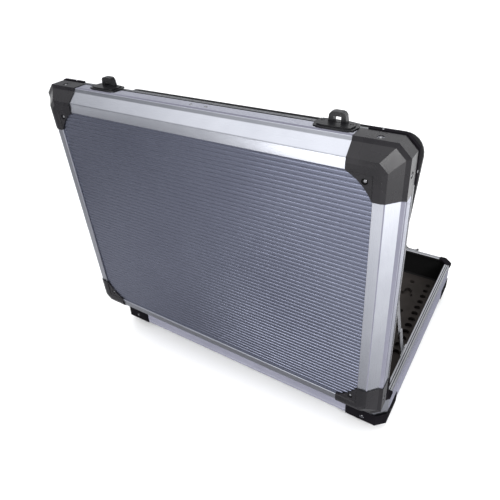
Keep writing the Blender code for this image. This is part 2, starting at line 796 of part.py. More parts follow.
def make_keeper(name, x, parent):
    """The lid's catch: a stepped plate with a round-topped bridge that has a rectangular eye through it."""
    wall = DEPTH / 2
    middle = lid_level(0.0272)
    base_outline = [(-0.0200, 0.0), (-0.0180, 0.0085), (-0.0130, 0.0098), (0.0130, 0.0098), (0.0180, 0.0085)]
    base_outline += [(0.0200, 0.0), (0.0180, -0.0085), (0.0110, -0.0098), (-0.0110, -0.0098), (-0.0180, -0.0085)]
    to_wall = Matrix(((1, 0, 0, x), (0, 0, -1, wall + GAP + 0.0008), (0, 1, 0, middle), (0, 0, 0, 1)))
    screws = [circle((sign * 0.0132, -0.0015), 0.0017, 12) for sign in (-1, 1)]
    foot = plate([base_outline, *screws], 0.0016, to_wall)
    upper_outline = [(px * 0.86, py * 0.80) for px, py in base_outline]
    to_step = Matrix.Translation((0, 0.0012, 0)) @ to_wall
    step = plate([upper_outline, *screws], 0.0012, to_step)
    low, high = lid_level(0.0346), lid_level(0.0285)
    half = [(0.0034, 0.0120), (0.0060, 0.0113), (0.0076, 0.0092), (0.0086, 0.0012)]
    arch = [(-px, py) for px, py in reversed(half)] + half
    to_arch = Matrix.Translation((x, wall, (low + high) / 2))
    mesh = join(foot, step, plate([arch], high - low, to_arch))
    eye = box((x - 0.0035, wall + 0.0031, low - 0.002), (x + 0.0035, wall + 0.0079, high + 0.002))
    part(f"keeper_{name}", cut(mesh, eye), "black_latch", parent)


# ---------------------------------------------------------------- handle
def make_handle(parent, pivot):
    wall = DEPTH / 2
    y, z = wall + HANDLE_PIVOT[0], HANDLE_PIVOT[1]
    for name, sign in (("left", -1), ("right", 1)):
        inner = HANDLE_HALF + 0.0043
        outer = inner + 0.011
        outline = [(wall + GAP, z - 0.009), (y, z - 0.0062)]
        outline += arc((y, z), 0.006, -70, 70, 6)
        outline += [(wall + GAP, z + 0.009)]
        block = side_profile(HANDLE_X + sign * (inner + outer) / 2, outer - inner, outline)
        x0 = HANDLE_X + sign * (inner + 0.001)
        stub = y_pin(x0, HANDLE_X + sign * (HANDLE_HALF - 0.002), (y, z), 0.0024, 14)
        part(f"handle_bracket_{name}", join(block, stub), "black_latch", parent)
    half = HANDLE_HALF
    side = [(-half, z), (-half + 0.001, z - 0.008)]
    bend = [(-px, pz) for px, pz in arc((half - 0.015, z - HANDLE_DROP + 0.014), 0.014, 0, -90, 5)]
    left = side + bend
    path = left + [(0.0, z - HANDLE_DROP - 0.001)] + [(-px, pz) for px, pz in reversed(left)]
    points = [(HANDLE_X + px, y, pz) for px, pz in path]
    middle = len(path) // 2
    radii = [0.92 + 0.28 * (1 - abs(i - middle) / middle) for i in range(len(path))]
    grip = tube(points, 0.0048, radii, 3)
    bosses = []
    bores = []
    for sign in (-1, 1):
        x0, x1 = HANDLE_X + sign * (half - 0.0038), HANDLE_X + sign * (half + 0.0038)
        bosses.append(y_pin(x0, x1, (y, z), 0.0056, 18))
        bores.append(y_pin(x0 - sign * 0.006, x1 + sign * 0.004, (y, z), 0.0027, 14))
    mesh = cut(join(grip, *bosses), *bores)
    smooth(part("handle_grip", mesh, "black_latch", pivot, (HANDLE_X, y, z)))


# ---------------------------------------------------------------- stay
def link_mesh(start, end, x, holes):
    """A flat link with round ends between two (y, z) points."""
    direction = Vector((end[0] - start[0], end[1] - start[1]))
    length = direction.length
    turn = math.degrees(math.atan2(direction.y, direction.x))
    outline = arc(start, LINK_WIDTH / 2, turn + 90, turn + 270, 8)
    outline += arc((start[0] + direction.x, start[1] + direction.y), LINK_WIDTH / 2, turn - 90, turn + 90, 8)
    assert length > LINK_WIDTH
    to_x = Matrix(((0, 0, 1, x), (1, 0, 0, 0), (0, 1, 0, 0), (0, 0, 0, 1)))
    return plate([outline, *[circle(hole, STAY_HOLE, 12) for hole in holes]], LINK_THICKNESS, to_x)


def opened(point):
    """A (y, z) point of the lid, carried from the shut position to the open one."""
    y, z = point[0] + DEPTH / 2 + HINGE_SETBACK, point[1] - BASE_HEIGHT
    c, s = math.cos(OPEN_ANGLE), math.sin(OPEN_ANGLE)
    return (y * c - z * s - DEPTH / 2 - HINGE_SETBACK, y * s + z * c + BASE_HEIGHT)


def shut(point):
    """The inverse of opened()."""
    y, z = point[0] + DEPTH / 2 + HINGE_SETBACK, point[1] - BASE_HEIGHT
    c, s = math.cos(OPEN_ANGLE), math.sin(OPEN_ANGLE)
    return (y * c + z * s - DEPTH / 2 - HINGE_SETBACK, -y * s + z * c + BASE_HEIGHT)


def stay_elbow():
    """Where the two links meet when the lid is open: on the straight line between their pivots."""
    lid = opened(STAY_LID)
    dy, dz = lid[0] - STAY_BASE[0], lid[1] - STAY_BASE[1]
    length = math.hypot(dy, dz)
    return (STAY_BASE[0] + dy * STAY_SHORT / length, STAY_BASE[1] + dz * STAY_SHORT / length)


def bracket_mesh(pivot, link_x, outline, headed):
    """A plate on the rim's inner face, with the pin that holds a link, headed or riveted flush."""
    half = LINK_THICKNESS / 2
    foot = side_profile(BRACKET_X, BRACKET_THICKNESS, outline)
    collar = y_pin(BRACKET_X, link_x + half + GAP, pivot, 0.0024, 12)
    if not headed:
        return join(foot, collar, y_pin(BRACKET_X, link_x - half, pivot, STAY_PIN, 12))
    pin = y_pin(BRACKET_X, link_x - half - GAP - STAY_HEAD / 2, pivot, STAY_PIN, 12)
    head = y_pin(link_x - half - GAP, link_x - half - GAP - STAY_HEAD, pivot, 0.0028, 12)
    return join(foot, collar, pin, head)


def make_stay(base, lid, lower_pivot, upper_pivot):
    """Two flat links that lie in a straight line when the lid is open, and meet at a riveted elbow."""
    elbow = stay_elbow()
    lower = link_mesh(STAY_BASE, elbow, LOWER_LINK_X, [STAY_BASE])
    part("stay_lower_link", lower, "zinc_steel", lower_pivot, (LOWER_LINK_X, *STAY_BASE))
    elbow_shut = shut(elbow)
    upper = link_mesh(STAY_LID, elbow_shut, UPPER_LINK_X, [STAY_LID])
    back = UPPER_LINK_X - LINK_THICKNESS / 2
    rivet = rod((back + 0.0004, *elbow_shut), (back - STAY_HEAD, *elbow_shut), 0.0030, 12, 0.0022)
    part("stay_upper_link", join(upper, rivet), "zinc_steel", upper_pivot, (UPPER_LINK_X, *STAY_LID))
    y, z = STAY_BASE
    foot = [(y - 0.012, z - 0.009), (y + 0.012, z - 0.009), (y + 0.012, z + 0.0035), (y + 0.006, z + 0.0042)]
    foot += [(y - 0.006, z + 0.0042), (y - 0.012, z + 0.0035)]
    part("stay_bracket_base", bracket_mesh(STAY_BASE, LOWER_LINK_X, foot, False), "zinc_steel", base)
    y, z = STAY_LID
    foot = [(y - 0.014, z - 0.0075), (y + 0.014, z - 0.0075), (y + 0.014, z + 0.002), (y + 0.006, z + 0.0055)]
    foot += [(y - 0.006, z + 0.0055), (y - 0.014, z + 0.002)]
    part("stay_bracket_lid", bracket_mesh(STAY_LID, UPPER_LINK_X, foot, True), "zinc_steel", lid)


# ---------------------------------------------------------------- lid board
def make_board(pivot):
    """A covered board drawn lying in the lid, with large round corners at its free edge."""
    half, length, corner = BOARD_HALF, BOARD_LENGTH, BOARD_CORNER
    outline = [(-half, BOARD_FOOT), (-half + BOARD_FOOT, 0.0), (half - BOARD_FOOT, 0.0), (half, BOARD_FOOT)]
    outline += arc((half - corner, length - corner), corner, 0, 90, 7)
    outline += arc((-half + corner, length - corner), corner, 90, 180, 7)
    y, z = BOARD_PIVOT[0], lid_level(BOARD_PIVOT[1])
    mesh = plate([outline], BOARD_THICKNESS, Matrix.Translation((0, y, z)))
    part("lid_board", mesh, "board_fabric", pivot, (0, y, z))


# ---------------------------------------------------------------- assembly
def joint_empty(name, point, parent):
    """An empty on a joint axis, at a point of the case frame with the lid shut."""
    origin = Vector(parent.get("case_point", (0, 0, 0)))
    empty = new_empty(name, Vector(point) - origin, parent)
    empty["case_point"] = tuple(point)
    return empty


def build():
    case = new_empty("case_frame", (0, 0, 0))
    case["case_point"] = (0.0, 0.0, 0.0)
    hinge = joint_empty("lid_hinge_axis", (0, -DEPTH / 2 - HINGE_SETBACK, BASE_HEIGHT), case)
    wall = DEPTH / 2

    rim_low = BASE_HEIGHT - MOUTH_GAP
    rim_high = BASE_HEIGHT + MOUTH_GAP
    base_end = rim_low - RIM_HEIGHT - GAP - BASE_LIFT
    make_sides("base", base_level, base_end, case)
    make_posts(case)
    make_caps("base", case)
    make_rims("base", rim_low, -1, case)
    make_rim_corners("base", rim_low, -1, case)
    make_floor_panel(case)
    part("base_liner", liner_mesh(base_level, base_end), "liner", case)
    make_tray(case)

    make_sides("lid", lid_level, LID_FRAME_END, hinge)
    make_caps("lid", hinge)
    make_rims("lid", rim_high, 1, hinge)
    make_rim_corners("lid", rim_high, 1, hinge)
    make_lid_panel(hinge)
    lid_end = LID_DEPTH - MOUTH_GAP - RIM_HEIGHT - GAP
    part("lid_liner", liner_mesh(lid_level, lid_end), "liner", hinge)
    make_hinge(case, hinge)

    for name, x in latch_places():
        make_latch_plate(name, x, case)
        lever = joint_empty(f"lever_axis_{name}", (x, wall + LEVER_PIVOT[0], LEVER_PIVOT[1]), case)
        make_lever(name, x, lever)
        bail = joint_empty(f"bail_axis_{name}", (x, wall + BAIL_PIVOT[0], BAIL_PIVOT[1]), lever)
        make_bail(name, x, bail)
        make_keeper(name, x, hinge)

    grip = joint_empty("handle_axis", (HANDLE_X, wall + HANDLE_PIVOT[0], HANDLE_PIVOT[1]), case)
    make_handle(case, grip)

    lower = joint_empty("stay_lower_axis", (LOWER_LINK_X, *STAY_BASE), case)
    upper = joint_empty("stay_upper_axis", (UPPER_LINK_X, *STAY_LID), hinge)
    make_stay(case, hinge, lower, upper)

    board = joint_empty("board_axis", (0, BOARD_PIVOT[0], lid_level(BOARD_PIVOT[1])), hinge)
    make_board(board)
    board.rotation_euler.x = -BOARD_LEAN
    hinge.rotation_euler.x = OPEN_ANGLE
    centre_on_floor(case)


def centre_on_floor(case):
    """Moves the case so that the middle of its open footprint stands on the origin."""
    bpy.context.view_layer.update()
    ends = []
    for obj in PARTS.objects:
        if obj.type == "MESH":
            ends += [(obj.matrix_world @ vert.co).y for vert in obj.data.vertices]
    case.location.y = -(min(ends) + max(ends)) / 2
    bpy.context.view_layer.update()


build()
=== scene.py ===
"""Looks for the open chip case: finer shapes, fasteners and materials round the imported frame."""

import json
import math

import bmesh
import bpy
from mathutils import Matrix, Vector


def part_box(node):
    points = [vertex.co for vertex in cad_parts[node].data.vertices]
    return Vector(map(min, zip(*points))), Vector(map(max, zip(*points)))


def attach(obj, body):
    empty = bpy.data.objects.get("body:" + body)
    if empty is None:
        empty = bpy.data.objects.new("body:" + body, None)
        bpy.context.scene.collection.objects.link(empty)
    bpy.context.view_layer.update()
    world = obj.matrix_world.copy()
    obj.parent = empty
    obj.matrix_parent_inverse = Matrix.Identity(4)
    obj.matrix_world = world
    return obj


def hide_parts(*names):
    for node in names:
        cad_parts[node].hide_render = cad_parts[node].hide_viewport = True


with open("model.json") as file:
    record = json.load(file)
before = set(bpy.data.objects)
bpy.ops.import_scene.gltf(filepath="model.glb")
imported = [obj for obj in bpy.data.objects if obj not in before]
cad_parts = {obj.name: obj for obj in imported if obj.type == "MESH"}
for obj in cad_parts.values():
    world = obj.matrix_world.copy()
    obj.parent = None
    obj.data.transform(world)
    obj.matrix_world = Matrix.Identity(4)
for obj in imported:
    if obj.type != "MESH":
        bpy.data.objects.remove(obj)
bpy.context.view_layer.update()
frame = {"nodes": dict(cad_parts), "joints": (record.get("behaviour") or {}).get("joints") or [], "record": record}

# ---------------------------------------------------------------- sizes, in metres, with the case shut
WIDTH, DEPTH = 0.430, 0.330
BASE_HEIGHT = 0.062
TOP = 0.097
BASE_LIFT = 0.0009
# The edge frames' section, as (inset from the wall, depth from the outer face), and its other measures
FRAME_LIP = (0.024, 0.0)
FRAME_FOLD = (0.0135, 0.0012)
FRAME_RIDGE = (0.0036, 0.0118)
FRAME_EDGE = (0.0, 0.0130)
FRAME_WALL = 0.0022
FRAME_LIP_DEPTH = 0.0049
FRAME_DEPTH = {"lid": 0.0290, "base": 0.0558}
WALL_LINES = {"lid": (0.30, 0.42, 0.54, 0.66, 0.78, 0.90), "base": (0.08, 0.52, 0.62, 0.72, 0.82, 0.92)}
# How far short of the case's corner a frame piece stops, at the wall and at the lip
FRAME_END = 0.016
FRAME_LIP_END = 0.0285
PANEL_SINK = 0.0016
PANEL_THICKNESS = 0.003
PANEL_INSET = 0.0243
RIB_PITCH = 0.00465
RIM_HEIGHT, RIM_WIDTH = 0.00415, 0.0075
RIM_CORNER_REACH = {"base": 0.0185, "lid": 0.042}
RIM_CORNER_PROUD = 0.0016
RIM_GAP = 0.0003
MOUTH = {"base": BASE_HEIGHT - 0.00025, "lid": BASE_HEIGHT + 0.00025}
GAP_STRIP_CLEARANCE = 0.0001
GAP_STRIP_CORNER = 0.020
LATCHES = (0.0085 - 0.1375, 0.0085 + 0.1375)
HINGE_RIVETS = (-0.045, -0.015, 0.015, 0.045, -0.135, 0.135)

# CASE takes the shut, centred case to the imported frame. OPEN then turns the lid to where it rests.
LID_JOINT = next(joint for joint in frame["joints"] if joint["name"] == "lid_hinge")
HINGE = Vector(LID_JOINT["pos_m"])
OPEN_ANGLE = -math.radians(LID_JOINT["range_deg"][0])
CASE = Matrix.Translation((0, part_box("base_side_front")[1].y - DEPTH / 2, 0))
OPEN = Matrix.Translation(HINGE) @ Matrix.Rotation(OPEN_ANGLE, 4, "X") @ Matrix.Translation(-HINGE)
PLACES = {"base": CASE, "lid": OPEN @ CASE}
# For each body, the way from its mouth to its outer face along z
OUTWARD = {"lid": 1, "base": -1}
OUTER_FACE = {"lid": TOP, "base": BASE_LIFT}
# Each side's turn from the front, and each corner's signs of x and y and its turn from the front right
SIDES = (("front", 0.0), ("rear", math.pi), ("right", -math.pi / 2), ("left", math.pi / 2))
CORNERS = ((1, 1, 0.0), (-1, 1, math.pi / 2), (-1, -1, math.pi), (1, -1, -math.pi / 2))


# ---------------------------------------------------------------- materials
class Nodes:
    """A material's node tree, with short ways to add nodes."""

    def __init__(self, name, colour, roughness, metallic=0.0):
        self.material = bpy.data.materials.new(name)
        self.material.use_nodes = True
        self.tree = self.material.node_tree
        self.shader = self.tree.nodes["Principled BSDF"]
        self.set("Base Color", (*colour, 1.0))
        self.set("Roughness", roughness)
        self.set("Metallic", metallic)
        self.coords = self.tree.nodes.new("ShaderNodeTexCoord").outputs["Object"]

    def set(self, name, value):
        self.shader.inputs[name].default_value = value

    def link(self, output, name):
        self.tree.links.new(output, self.shader.inputs[name])

    def mapped(self, scale, source=None):
        node = self.tree.nodes.new("ShaderNodeMapping")
        node.inputs["Scale"].default_value = scale
        self.tree.links.new(source or self.coords, node.inputs["Vector"])
        return node.outputs["Vector"]

    def attribute(self, name):
        node = self.tree.nodes.new("ShaderNodeAttribute")
        node.attribute_name = name
        return node.outputs["Vector"]

    def noise(self, vector, scale, detail=2.0, roughness=0.5):
        node = self.tree.nodes.new("ShaderNodeTexNoise")
        node.inputs["Scale"].default_value = scale
        node.inputs["Detail"].default_value = detail
        node.inputs["Roughness"].default_value = roughness
        self.tree.links.new(vector, node.inputs["Vector"])
        return node.outputs["Fac"]

    def wave(self, vector, scale, direction="X"):
        node = self.tree.nodes.new("ShaderNodeTexWave")
        node.wave_type = "BANDS"
        node.bands_direction = direction
        node.inputs["Scale"].default_value = scale
        node.inputs["Distortion"].default_value = 0.0
        self.tree.links.new(vector, node.inputs["Vector"])
        return node.outputs["Fac"]

    def cells(self, vector, scale):
        node = self.tree.nodes.new("ShaderNodeTexVoronoi")
        node.inputs["Scale"].default_value = scale
        self.tree.links.new(vector, node.inputs["Vector"])
        return node.outputs["Distance"]

    def ramp(self, value, low, high, start=0.3, end=0.7):
        node = self.tree.nodes.new("ShaderNodeMapRange")
        node.inputs["From Min"].default_value = start
        node.inputs["From Max"].default_value = end
        node.inputs["To Min"].default_value = low
        node.inputs["To Max"].default_value = high
        self.tree.links.new(value, node.inputs["Value"])
        return node.outputs["Result"]

    def mix(self, factor, low, high):
        node = self.tree.nodes.new("ShaderNodeMix")
        node.data_type = "RGBA"
        self.tree.links.new(factor, node.inputs["Factor"])
        node.inputs["A"].default_value = (*low, 1.0)
        node.inputs["B"].default_value = (*high, 1.0)
        return node.outputs["Result"]

    def tint(self, factor, low, high):
        """The base colour goes from low to high with the middle of a noise's range."""
        self.link(self.mix(self.ramp(factor, 0.0, 1.0), low, high), "Base Color")

    def multiply(self, first, second):
        node = self.tree.nodes.new("ShaderNodeMath")
        node.operation = "MULTIPLY"
        self.tree.links.new(first, node.inputs[0])
        self.tree.links.new(second, node.inputs[1])
        return node.outputs["Value"]

    def bump(self, height, distance, strength):
        """Adds a bump to the shader's normal, on top of any bump that is there already."""
        node = self.tree.nodes.new("ShaderNodeBump")
        node.inputs["Strength"].default_value = strength
        node.inputs["Distance"].default_value = distance
        self.tree.links.new(height, node.inputs["Height"])
        if self.shader.inputs["Normal"].links:
            before = self.shader.inputs["Normal"].links[0].from_socket
            self.tree.links.new(before, node.inputs["Normal"])
        self.tree.links.new(node.outputs["Normal"], self.shader.inputs["Normal"])


def extruded_aluminium():
    """Anodised extrusion: die lines run along the length, at places given by the flow attribute."""
    nodes = Nodes("extruded_aluminium", (0.36, 0.37, 0.405), 0.30, 1.0)
    flow = nodes.attribute("flow")
    lines = nodes.noise(nodes.mapped((1.0, 5200.0, 0.0), flow), 1.0, 3.0, 0.65)
    clouds = nodes.noise(nodes.coords, 34.0, 3.0)
    nodes.tint(clouds, (0.345, 0.354, 0.390), (0.380, 0.390, 0.426))
    nodes.link(nodes.ramp(lines, 0.24, 0.36), "Roughness")
    nodes.bump(lines, 0.00003, 0.5)
    return nodes.material


def lined_wall(name, shade):
    """The side wall of the extrusion: a darker lavender-grey finish with fine lines."""
    nodes = Nodes(name, (shade, shade, 1.23 * shade), 0.8, 0.08)
    nodes.set("Specular IOR Level", 0.0)
    flow = nodes.attribute("flow")
    lines = nodes.noise(nodes.mapped((1.0, 3600.0, 0.0), flow), 1.0, 3.0, 0.65)
    clouds = nodes.noise(nodes.coords, 26.0, 3.0)
    dark = (0.93 * shade, 0.93 * shade, 1.15 * shade)
    light = (1.07 * shade, 1.07 * shade, 1.30 * shade)
    nodes.tint(clouds, dark, light)
    nodes.link(nodes.ramp(lines, 0.72, 0.88), "Roughness")
    nodes.bump(lines, 0.00005, 0.6)
    return nodes.material


def rim_aluminium():
    """Plain brushed aluminium of the rims round both mouths."""
    nodes = Nodes("rim_aluminium", (0.33, 0.335, 0.355), 0.38, 1.0)
    clouds = nodes.noise(nodes.coords, 60.0, 3.0)
    nodes.link(nodes.ramp(clouds, 0.32, 0.45), "Roughness")
    nodes.bump(nodes.noise(nodes.coords, 900.0, 2.0), 0.00003, 0.3)
    return nodes.material


def panel_skin():
    """Slate-blue laminated sheet with a satin metallic sheen and a fine brushed grain along the ribs."""
    nodes = Nodes("slate_ribbed_sheet", (0.15, 0.16, 0.21), 0.30, 0.9)
    grain = nodes.noise(nodes.mapped((25.0, 2600.0, 2600.0)), 1.0, 2.0, 0.6)
    clouds = nodes.noise(nodes.coords, 9.0, 3.0)
    nodes.tint(clouds, (0.122, 0.130, 0.174), (0.140, 0.149, 0.196))
    nodes.link(nodes.ramp(grain, 0.21, 0.29), "Roughness")
    nodes.bump(grain, 0.00002, 0.35)
    return nodes.material


def moulded_plastic(name, specular, roughness):
    """Black moulded corners, from satin to dull: a fine grain, faintly worn."""
    nodes = Nodes(name, (0.008, 0.007, 0.009), roughness)
    nodes.set("Specular IOR Level", specular)
    grain = nodes.noise(nodes.coords, 1500.0, 3.0, 0.6)
    clouds = nodes.noise(nodes.coords, 45.0, 3.0)
    nodes.link(nodes.ramp(clouds, roughness - 0.06, roughness + 0.07), "Roughness")
    nodes.tint(clouds, (0.006, 0.0055, 0.007), (0.010, 0.009, 0.011))
    nodes.bump(grain, 0.00004, 0.35)
    return nodes.material


def coated_metal():
    """Black coated metal of the latches and the handle."""
    nodes = Nodes("black_coated_metal", (0.006, 0.006, 0.007), 0.3)
    nodes.set("Specular IOR Level", 0.35)
    clouds = nodes.noise(nodes.coords, 120.0, 3.0)
    nodes.link(nodes.ramp(clouds, 0.24, 0.38), "Roughness")
    nodes.bump(nodes.noise(nodes.coords, 700.0, 2.0), 0.00005, 0.35)
    return nodes.material


def lining_sheet():
    """Matt black lining inside the base and the lid."""
    nodes = Nodes("matt_lining", (0.006, 0.006, 0.006), 0.78)
    nodes.set("Specular IOR Level", 0.10)
    weave = nodes.noise(nodes.coords, 1100.0, 2.0)
    nodes.link(nodes.ramp(nodes.noise(nodes.coords, 25.0, 3.0), 0.7, 0.88), "Roughness")
    nodes.bump(weave, 0.00010, 0.5)
    return nodes.material


def foam():
    """Dark closed-cell foam with a fine open skin."""
    nodes = Nodes("tray_foam", (0.021, 0.018, 0.016), 0.92)
    nodes.set("Specular IOR Level", 0.2)
    cells = nodes.cells(nodes.coords, 900.0)
    clouds = nodes.noise(nodes.coords, 40.0, 4.0)
    nodes.tint(clouds, (0.017, 0.0145, 0.013), (0.026, 0.022, 0.020))
    nodes.bump(cells, 0.00020, 0.6)
    nodes.bump(clouds, 0.0004, 0.3)
    return nodes.material


def board_cloth():
    """Black woven cloth over the lid's board."""
    nodes = Nodes("black_cloth", (0.008, 0.008, 0.009), 0.85)
    nodes.set("Specular IOR Level", 0.25)
    nodes.set("Sheen Weight", 0.15)
    warp = nodes.wave(nodes.coords, 1100.0, "X")
    weft = nodes.wave(nodes.coords, 1100.0, "Z")
    nodes.bump(nodes.multiply(warp, weft), 0.00018, 0.6)
    nodes.link(nodes.ramp(nodes.noise(nodes.coords, 60.0, 3.0), 0.75, 0.95), "Roughness")
    return nodes.material


def zinc():
    """Zinc-plated steel of the hinge, the stay and the fasteners."""
    nodes = Nodes("zinc_plated_steel", (0.30, 0.305, 0.32), 0.30, 1.0)
    clouds = nodes.noise(nodes.coords, 160.0, 4.0)
    nodes.link(nodes.ramp(clouds, 0.2, 0.42), "Roughness")
    nodes.tint(clouds, (0.26, 0.265, 0.28), (0.34, 0.345, 0.36))
    nodes.bump(nodes.noise(nodes.coords, 800.0, 2.0), 0.00003, 0.3)
    return nodes.material


def rivet_metal():
    """Darker polished rivet heads."""
    nodes = Nodes("polished_rivet", (0.20, 0.20, 0.21), 0.30, 1.0)
    nodes.link(nodes.ramp(nodes.noise(nodes.coords, 400.0, 3.0), 0.14, 0.3), "Roughness")
    return nodes.material


def matt_black():
    """Matt black: painted shade in the rims' grooves and inner faces, painted shadow in the discs round the rivets,
    and the strips in the gaps between frames and rims.
    """
    nodes = Nodes("matt_black", (0.006, 0.006, 0.006), 0.8)
    nodes.set("Specular IOR Level", 0.15)
    nodes.link(nodes.ramp(nodes.noise(nodes.coords, 300.0, 2.0), 0.7, 0.9), "Roughness")
    nodes.bump(nodes.noise(nodes.coords, 900.0, 2.0), 0.00004, 0.3)
    return nodes.material


MATERIALS = {
    "aluminium": rim_aluminium(),
    "extruded": extruded_aluminium(),
    # One wall finish in two tones: the lid's darker copy is painted shade.
    "base_wall": lined_wall("base_lined_wall", 0.24),
    "lid_wall": lined_wall("lid_lined_wall", 0.165),
    "ribbed_panel": panel_skin(),
    "black_plastic": moulded_plastic("moulded_black_plastic", 0.24, 0.27),
    # A duller copy of the caps' plastic, which makes the base caps and rim corners darker: painted shade.
    "dimmed_plastic": moulded_plastic("dimmed_black_plastic", 0.01, 0.75),
    "black_latch": coated_metal(),
    "liner": lining_sheet(),
    "tray_foam": foam(),
    "zinc_steel": zinc(),
    "board_fabric": board_cloth(),
    "rivet": rivet_metal(),
    "matt_black": matt_black(),
}
SLOTS = {entry["node"]: entry["material_slot"] for entry in frame["record"]["subparts"]}


def dress(obj, material):
    """Gives an object one material."""
    obj.data.materials.clear()
    obj.data.materials.append(MATERIALS[material])


# ---------------------------------------------------------------- shapes
def new_object(name, bm, smooth_angle=30.0):
    """An object with a bmesh's faces turned outward, smooth below an angle in degrees."""
    bmesh.ops.recalc_face_normals(bm, faces=bm.faces)
    if bm.calc_volume(signed=True) < 0:
        bmesh.ops.reverse_faces(bm, faces=bm.faces)
    mesh = bpy.data.meshes.new(name)
    bm.to_mesh(mesh)
    bm.free()
    obj = bpy.data.objects.new(name, mesh)
    bpy.context.scene.collection.objects.link(obj)
    mesh.shade_smooth()
    mesh.set_sharp_from_angle(angle=math.radians(smooth_angle))
    return obj


def bevel(obj, width, segments):
    """Rounds an object's edges and keeps its flats flat."""
    modifier = obj.modifiers.new("edges", "BEVEL")
    modifier.width = width
    modifier.segments = segments
    modifier.limit_method = "ANGLE"
    modifier.angle_limit = math.radians(30)
    modifier.harden_normals = True
    obj.data.shade_smooth()


def rounded_corner(path, index, radius, steps):
    """Points that round one corner of a path, radius being the cut's length along each leg."""
    before, point, after = (Vector(path[i]) for i in (index - 1, index, index + 1))
    start = point + (before - point).normalized() * radius
    end = point + (after - point).normalized() * radius
    points = []
    for step in range(steps + 1):
        t = step / steps
        points.append((1 - t) ** 2 * start + 2 * t * (1 - t) * point + t * t * end)
    return [tuple(p) for p in points]


def grooved(start, end, grooves, width, depth, sign):
    """Points of small V grooves at the given shares of the way from start to end, cut to the side of sign."""
    start, end = Vector(start), Vector(end)
    along = (end - start).normalized()
    inward = Vector((along.y, -along.x)) * sign
    length = (end - start).length
    points = []
    for share in grooves:
        middle = start + along * length * share
        points += [middle - along * width / 2, middle + inward * depth, middle + along * width / 2]
    return [tuple(p) for p in points]


def frame_section(end_depth, wall_lines):
    """The edge frame's section as (inset, depth): rounded folds, fine lines on the side wall."""
    path = [FRAME_LIP, FRAME_FOLD, FRAME_RIDGE, FRAME_EDGE, (0.0, end_depth)]
    edge_radius = 0.0006
    points = [(FRAME_LIP[0], 0.0004), (FRAME_LIP[0] - 0.0003, 0.0)]
    points += rounded_corner(path, 1, 0.0009, 3)
    points += rounded_corner(path, 2, edge_radius, 4)
    points += rounded_corner(path, 3, edge_radius, 3)
    start, end = (0.0, FRAME_EDGE[1] + edge_radius), (0.0, end_depth)
    points += grooved(start, end, wall_lines, width=0.00045, depth=0.00022, sign=-1)
    points += [(0.0, end_depth - 0.0004), (0.0004, end_depth)]
    points += [(FRAME_WALL, end_depth), (FRAME_WALL, FRAME_EDGE[1] + 0.001)]
    points += [(FRAME_FOLD[0] + 0.0014, FRAME_LIP_DEPTH), (FRAME_LIP[0], FRAME_LIP_DEPTH)]
    return points


def side_length(side):
    """The case's outer length along a side, from corner to corner."""
    return DEPTH if side in ("left", "right") else WIDTH


def side_place(body, side, angle):
    """Takes a piece drawn along x, with its wall at y = 0, to one side of a body."""
    reach = WIDTH / 2 if side in ("left", "right") else DEPTH / 2
    return PLACES[body] @ Matrix.Rotation(angle, 4, "Z") @ Matrix.Translation((0, reach, 0))


def bridge(bm, first, second):
    """Faces between two loops of as many vertices."""
    count = len(first)
    for i in range(count):
        j = (i + 1) % count
        bm.faces.new((first[i], first[j], second[j], second[i]))


def extrusion(name, section, length, slope, place):
    """A section of (y, z) points along x. Its ends are cut on a slant: slope is the length lost per unit of -y.

    The flow attribute holds each point's place along the piece and round its section.
    """
    bm = bmesh.new()
    flow = bm.verts.layers.float_vector.new("flow")
    loops = []
    for end in (-1.0, 1.0):
        loop = []
        across = 0.0
        previous = section[0]
        for y, z in section:
            across += math.hypot(y - previous[0], z - previous[1])
            previous = (y, z)
            x = end * (length / 2 + slope * y)
            vert = bm.verts.new((x, y, z))
            vert[flow] = (x, across, 0.0)
            loop.append(vert)
        loops.append(loop)
    bridge(bm, *loops)
    for loop in loops:
        bm.faces.new(loop)
    bm.transform(place)
    return new_object(name, bm, 24.0)


def make_frames():
    """The edge frames. Their side walls are darker, and the ledges above the left and right ones take the walls'
    darker material as a painted line of shade.
    """
    slope = (FRAME_LIP_END - FRAME_END) / FRAME_LIP[0]
    for body, up in OUTWARD.items():
        section = frame_section(FRAME_DEPTH[body], WALL_LINES[body])
        points = [(-inset, OUTER_FACE[body] - up * depth) for inset, depth in section]
        for side, angle in SIDES:
            place = side_place(body, side, angle)
            obj = extrusion(f"{body}_frame_{side}", points, side_length(side) - 2 * FRAME_END, slope, place)
            dress(obj, "extruded")
            obj.data.materials.append(MATERIALS[f"{body}_wall"])
            outward = place.to_3x3() @ Vector((0, 1, 0))
            for face in obj.data.polygons:
                facing = face.normal.dot(outward)
                # Painted shade: the left and right ledges take the darker wall material.
                shaded_ledge = side in ("left", "right") and 0.2 < facing < 0.5
                face.material_index = int(facing > 0.9 or shaded_ledge)
            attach(obj, body)
            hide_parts(f"{body}_side_{side}")


def rim_section(up):
    """The rim's section, round from its outer side over its mouth face, with grooves between its ridges."""
    height = up * RIM_HEIGHT
    edge, groove_depth = 0.0003, 0.0009
    side = grooved((0.0, height), (0.0, edge * up), (0.30, 0.62), width=0.00050, depth=0.0005, sign=up)
    mouth = [(-edge, 0.0)]
    for share in (0.30, 0.64):
        y = -RIM_WIDTH * share
        mouth += [(y + 0.00050, 0.0), (y + 0.00040, up * groove_depth)]
        mouth += [(y - 0.00040, up * groove_depth), (y - 0.00050, 0.0)]
    inner = [(-RIM_WIDTH + 0.0002, 0.0), (-RIM_WIDTH, up * 0.0002), (-RIM_WIDTH, height)]
    return [(0.0, height)] + side + [(0.0, up * edge)] + mouth + inner


